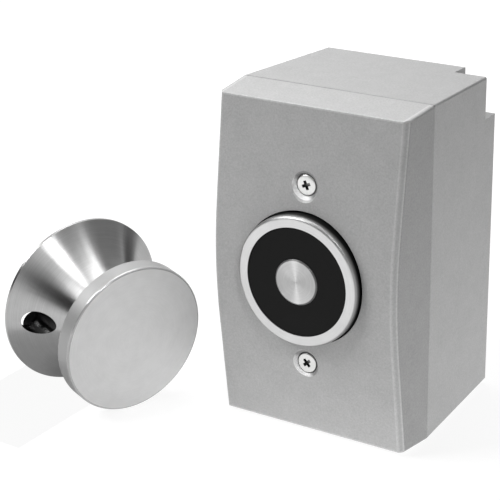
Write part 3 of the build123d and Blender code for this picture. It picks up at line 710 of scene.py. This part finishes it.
# The head, with a rounded edge and the cross cut into it
def screwHead(tree, start, split):
    flat = mathNode(tree, "SUBTRACT", start["Head Height"], start["Edge Round"])
    above = mathNode(tree, "SUBTRACT", split["Z"], flat)
    share = mathNode(tree, "DIVIDE", above, start["Edge Round"], clamp=True)
    square = mathNode(tree, "MULTIPLY", share, share)
    arc = mathNode(tree, "SQRT", mathNode(tree, "SUBTRACT", 1.0, square, clamp=True))
    drop = mathNode(tree, "MULTIPLY", start["Edge Round"], mathNode(tree, "SUBTRACT", 1.0, arc))
    radius = mathNode(tree, "SUBTRACT", start["Head Radius"], drop)
    head = turnedBar(tree, 0.0, start["Head Height"], radius, **screwMesh["head"])
    cut = addNode(tree, "GeometryNodeMeshBoolean", {"Mesh 1": head},
                  operation="DIFFERENCE", solver="EXACT")
    for turn in (0.0, math.pi / 2):
        feed(tree, cut.inputs["Mesh 2"], recessArm(tree, start, turn))
    return cut.outputs["Mesh"]


# The shank, with a thread pressed into it
def screwShank(tree, start, split):
    bottom = mathNode(tree, "MULTIPLY", start["Shank Length"], -1.0)
    shank = turnedBar(tree, bottom, screwMesh["overlap"], start["Shank Radius"],
                      **screwMesh["shank"])
    angle = mathNode(tree, "ARCTAN2", split["Y"], split["X"])
    climb = mathNode(tree, "DIVIDE", split["Z"], start["Thread Pitch"])
    phase = mathNode(tree, "ADD", climb, mathNode(tree, "DIVIDE", angle, 2 * math.pi))
    wave = mathNode(tree, "PINGPONG", phase, 0.5)
    depth = mathNode(tree, "MULTIPLY", wave, mathNode(tree, "MULTIPLY", start["Thread Depth"], 2.0))
    groove = mathNode(tree, "DIVIDE", depth, start["Shank Radius"])
    keep = mathNode(tree, "SUBTRACT", 1.0, groove)
    pressed = vectorFrom(tree, mathNode(tree, "MULTIPLY", split["X"], keep),
                         mathNode(tree, "MULTIPLY", split["Y"], keep), split["Z"])
    threaded = addNode(tree, "GeometryNodeSetPosition", {"Geometry": shank, "Position": pressed})
    return threaded.outputs[0]


# One screw at each place, turned as its point says and smooth but for its sharp edges
def setScrews(tree, start, screw):
    turn = addNode(tree, "GeometryNodeInputNamedAttribute", {"Name": "turn"}, data_type="FLOAT")
    facing = vectorFrom(tree, math.pi / 2,
                        mathNode(tree, "MULTIPLY", turn.outputs["Attribute"], -1.0))
    spread = addNode(tree, "GeometryNodeInstanceOnPoints", {
        "Points": start["Geometry"], "Instance": screw, "Rotation": facing,
    })
    real = addNode(tree, "GeometryNodeRealizeInstances", {0: spread.outputs[0]})
    smoothFaces = addNode(tree, "GeometryNodeSetShadeSmooth", {
        "Geometry": real.outputs[0], "Shade Smooth": True,
    }, domain="FACE")
    corner = addNode(tree, "GeometryNodeInputMeshEdgeAngle")
    soft = addNode(tree, "FunctionNodeCompare", {
        0: corner.outputs["Unsigned Angle"], 1: math.radians(screwMesh["smoothAngle"]),
    }, operation="LESS_THAN", data_type="FLOAT")
    smoothEdges = addNode(tree, "GeometryNodeSetShadeSmooth", {
        "Geometry": smoothFaces.outputs[0], "Shade Smooth": soft.outputs[0],
    }, domain="EDGE")
    finish = addNode(tree, "GeometryNodeSetMaterial", {
        "Geometry": smoothEdges.outputs[0], "Material": start["Finish"],
    })
    return finish.outputs[0]


def screwTree():
    tree = bpy.data.node_groups.new("crossHeadScrew", "GeometryNodeTree")
    addSockets(tree, "INPUT", "NodeSocketGeometry", "Geometry")
    addSockets(tree, "OUTPUT", "NodeSocketGeometry", "Geometry")
    addSockets(tree, "INPUT", "NodeSocketFloat", *screwSizes)
    addSockets(tree, "INPUT", "NodeSocketMaterial", "Finish")
    start = addNode(tree, "NodeGroupInput").outputs
    split = splitVector(tree, addNode(tree, "GeometryNodeInputPosition").outputs[0])
    screw = addNode(tree, "GeometryNodeJoinGeometry")
    feed(tree, screw.inputs[0], screwHead(tree, start, split))
    feed(tree, screw.inputs[0], screwShank(tree, start, split))
    addNode(tree, "NodeGroupOutput", {0: setScrews(tree, start, screw.outputs[0])})
    return tree


# Runs a tree on a mesh and gives back the plain result
def bakeTree(name, mesh, tree, values):
    piece = bpy.data.objects.new(name, mesh)
    bpy.context.scene.collection.objects.link(piece)
    modifier = piece.modifiers.new(name, "NODES")
    modifier.node_group = tree
    for item in tree.interface.items_tree:
        if item.item_type == "SOCKET" and item.in_out == "INPUT" and item.name in values:
            modifier[item.identifier] = values[item.name]
    graph = bpy.context.evaluated_depsgraph_get()
    baked = bpy.data.meshes.new_from_object(piece.evaluated_get(graph), depsgraph=graph)
    piece.modifiers.remove(modifier)
    piece.data = baked
    return piece


# The middles of the screws between two sides: one screw, or one at each side where there is room
def screwRow(low, high, headRadius):
    if high - low > 3 * headRadius:
        return (low + headRadius, high - headRadius)
    return ((low + high) / 2,)


def makeScrews(nodeName, tree):
    look = crossScrews[nodeName]
    low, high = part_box(nodeName)
    headRadius = look["headRadius"] * mm
    seat = low.y + look["headHeight"] * mm
    heights = screwRow(low.z, high.z, headRadius)
    places = [(x, seat, z) for x in screwRow(low.x, high.x, headRadius) for z in heights]
    mesh = bpy.data.meshes.new(nodeName)
    mesh.from_pydata(places, [], [])
    turns = mesh.attributes.new("turn", "FLOAT", "POINT")
    for point, place in zip(turns.data, places):
        upper = place[2] == max(heights)
        point.value = math.radians(look["turns"][0 if upper else 1])
    piece = bakeTree(nodeName + "_turned", mesh, tree, {
        "Head Radius": headRadius,
        "Head Height": look["headHeight"] * mm,
        "Edge Round": look["edgeRound"] * mm,
        "Shank Radius": look["shankRadius"] * mm,
        "Shank Length": high.y - seat,
        "Thread Pitch": screwThread["pitch"],
        "Thread Depth": screwThread["depth"],
        "Arm Length": crossRecess["armLength"],
        "Arm Width": crossRecess["armWidth"],
        "Recess Depth": crossRecess["depth"],
        "Recess Taper": crossRecess["taper"],
        "Finish": finishes[look["finish"]],
    })
    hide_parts(nodeName)
    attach(piece, "holder")
    return piece


oneScrew = screwTree()
for screwNode in crossScrews:
    made = makeScrews(screwNode, oneScrew)
    print("screws made:", screwNode, len(made.data.polygons), "faces")


# The stage: a floor, screens, cards, lamps and the world, none of them part of the object
tableHeight = cadBounds[0][2]
dullRoughness = 0.9


def dullMaterial(name, level, values=None):
    return newMaterial(name, {
        "Roughness": dullRoughness, "Base Color": grey(level), **(values or {}),
    })


def setOnStage(name, points, faces, material, height=0.0, seen=True):
    mesh = bpy.data.meshes.new(name)
    mesh.from_pydata(points, [], faces)
    mesh.materials.append(material)
    piece = bpy.data.objects.new(name, mesh)
    piece.location.z = height
    piece.visible_camera = seen
    bpy.context.scene.collection.objects.link(piece)


# 1 for rays that come from the camera, a mirroring surface or a clear one, and 0 for others
def whiteForRays(tree):
    path = addNode(tree, "ShaderNodeLightPath").outputs
    mirrored = mathNode(tree, "MAXIMUM", path["Is Glossy Ray"], path["Is Transmission Ray"])
    return mathNode(tree, "MAXIMUM", path["Is Camera Ray"], mirrored)


# The floor is white where it is seen or mirrored, and soft light rises from a pool round the
# object. Near the object a part of that white comes from the lamps, so that a shadow stays.
floorLook = {
    "size": 6.0,
    "level": 0.20,
    "shine": 0.1,
    "nearGlow": 0.86,
    "nearReach": (110.0 * mm, 330.0 * mm),
    "poolGlow": 1.67,
    "poolFloor": 0.04,
    "poolMiddle": (95.0 * mm, 45.0 * mm, 0.0),
    "poolReach": (60.0 * mm, 340.0 * mm),
}


def makeFloor():
    material, tree, shader = dullMaterial("paleFloor", floorLook["level"], {
        "Specular IOR Level": floorLook["shine"], "Emission Color": grey(1.0),
    })
    place = objectPlace(tree)
    pool = addNode(tree, "ShaderNodeMapRange", {
        "Value": vectorNode(tree, "DISTANCE", place, floorLook["poolMiddle"], output="Value"),
        "From Min": floorLook["poolReach"][0], "From Max": floorLook["poolReach"][1],
        "To Min": floorLook["poolGlow"], "To Max": floorLook["poolFloor"],
    }, interpolation_type="SMOOTHERSTEP")
    white = addNode(tree, "ShaderNodeMapRange", {
        "Value": vectorNode(tree, "LENGTH", place, output="Value"),
        "From Min": floorLook["nearReach"][0], "From Max": floorLook["nearReach"][1],
        "To Min": floorLook["nearGlow"], "To Max": 1.0,
    }, interpolation_type="SMOOTHSTEP")
    glow = addNode(tree, "ShaderNodeMapRange", {
        "Value": whiteForRays(tree), "To Min": pool.outputs[0], "To Max": white.outputs[0],
    })
    feed(tree, shader.inputs["Emission Strength"], glow.outputs[0])
    half = floorLook["size"] / 2
    corners = [(-half, -half, 0), (half, -half, 0), (half, half, 0), (-half, half, 0)]
    setOnStage("floor", corners, [(0, 1, 2, 3)], material, tableHeight)


# The world is white where it is seen or mirrored, and gives a little light from all round
ambient = 0.03


def makeWorld():
    world = bpy.data.worlds.new("studioWorld")
    world.use_nodes = True
    bpy.context.scene.world = world
    tree = world.node_tree
    background = tree.nodes["Background"]
    background.inputs["Color"].default_value = grey(1.0)
    strength = addNode(tree, "ShaderNodeMapRange", {
        "Value": whiteForRays(tree), "To Min": ambient, "To Max": 1.0,
    })
    feed(tree, background.inputs["Strength"], strength.outputs[0])


# Upright curved grey screens, unseen by the camera, for the darker parts of reflections and
# soft light: angles from +X in degrees, lengths in millimetres
screens = {
    "frontScreen": {
        "start": 185, "end": 335, "radius": 1300, "low": 60, "high": 1000, "level": 0.08,
    },
    "rightScreen": {
        "start": -25, "end": 75, "radius": 1000, "low": 330, "high": 1500, "level": 0.22,
    },
    "backScreen": {
        "start": 40, "end": 120, "radius": 1500, "low": -57, "high": 380, "level": 0.40,
    },
}
screenSteps = 24


def makeScreen(name):
    look = screens[name]
    points = []
    for step in range(screenSteps + 1):
        share = step / screenSteps
        turn = math.radians(look["start"] + (look["end"] - look["start"]) * share)
        across = Vector((math.cos(turn), math.sin(turn), 0)) * look["radius"]
        for height in ("low", "high"):
            points.append((across + Vector((0, 0, look[height]))) * mm)
    faces = [(2 * step, 2 * step + 2, 2 * step + 3, 2 * step + 1) for step in range(screenSteps)]
    material = dullMaterial(name, look["level"])[0]
    setOnStage(name, points, faces, material, seen=False)


# A grey, faintly glowing card under the armature, unseen by the camera, for the shade in its
# lower side; the card's own shadow shows faintly on the floor. Millimetres.
underCard = {"low": (-116, -124), "high": (-76, -70), "lift": 0.2, "level": 0.20, "glow": 0.29}


def makeUnderCard():
    (x0, y0), (x1, y1) = underCard["low"], underCard["high"]
    corners = [Vector((x, y, 0)) * mm for x, y in ((x0, y0), (x1, y0), (x1, y1), (x0, y1))]
    material = dullMaterial("underCard", underCard["level"], {
        "Emission Color": grey(1.0), "Emission Strength": underCard["glow"],
    })[0]
    height = tableHeight + underCard["lift"] * mm
    setOnStage("underCard", corners, [(0, 1, 2, 3)], material, height, seen=False)


# The shade in each screw hole of the flange: a small dark disc ahead of the flange's back,
# aside from the hole's middle and below it
holeCard = {
    "ahead": 0.35 * mm, "aside": 2.5 * mm, "down": 3.5 * mm,
    "radius": 3.9 * mm, "sides": 32, "level": 0.03,
}


def makeHoleCards():
    side, up = axisFrame(armatureAxis)
    material = dullMaterial("holeCard", holeCard["level"], {"Specular IOR Level": 0.0})[0]
    flangeBack = discMiddle - armatureAxis * (armature["length"] - discEdge["thickness"] / 2)
    corners = range(holeCard["sides"])
    turns = [2 * math.pi * corner / holeCard["sides"] for corner in corners]
    spokes = [side * math.cos(turn) + up * math.sin(turn) for turn in turns]
    for end in (-1, 1):
        across = end * screwHoles["circle"] + holeCard["aside"]
        middle = flangeBack + armatureAxis * holeCard["ahead"] + side * across
        middle -= up * holeCard["down"]
        ring = [middle + spoke * holeCard["radius"] for spoke in spokes]
        setOnStage("holeCard", ring, [list(corners)], material)


# Softboxes, and narrow snoots that are each aimed at one piece: lengths in millimetres, the
# cone in degrees, the power in watts
keyPlace = (322, -352, 430)
armatureAim = (-96, -68, -20)
magnetAim = (8, -71, 0)
softAim = (-15, -45, -5)
lamps = {
    "topSoftbox": {"place": (-110, 110, 640), "size": (420, 420), "aim": softAim, "power": 3.15},
    "leftSoftbox": {"place": (-400, -380, 480), "size": (300, 300), "aim": softAim, "power": 3.7},
    "rightFill": {"place": (340, -330, 130), "size": (240, 240), "aim": softAim, "power": 0.18},
    "keySnoot": {"place": keyPlace, "radius": 42, "cone": 9, "aim": armatureAim, "power": 7.5},
    "unitSnoot": {"place": keyPlace, "radius": 42, "cone": 9, "aim": magnetAim, "power": 4.0},
    "highSnoot": {
        "place": (262, 95, 561), "radius": 44, "cone": 8, "aim": armatureAim, "power": 0.9,
    },
}
snootBlend = 0.6


def makeLamp(name):
    look = lamps[name]
    if "cone" in look:
        lamp = bpy.data.lights.new(name, "SPOT")
        lamp.spot_size = math.radians(look["cone"])
        lamp.spot_blend = snootBlend
        lamp.shadow_soft_size = look["radius"] * mm
    else:
        lamp = bpy.data.lights.new(name, "AREA")
        lamp.shape = "RECTANGLE"
        lamp.size = look["size"][0] * mm
        lamp.size_y = look["size"][1] * mm
    lamp.energy = look["power"]
    holder = bpy.data.objects.new(name, lamp)
    holder.visible_camera = False
    bpy.context.scene.collection.objects.link(holder)
    place = Vector(look["place"]) * mm
    sight = Vector(look["aim"]) * mm - place
    holder.location = place
    holder.rotation_euler = sight.to_track_quat("-Z", "Y").to_euler()


makeFloor()
makeWorld()
for screenName in screens:
    makeScreen(screenName)
makeUnderCard()
makeHoleCards()
for lampName in lamps:
    makeLamp(lampName)
bpy.context.scene.view_settings.view_transform = "Standard"
print("studio lit")
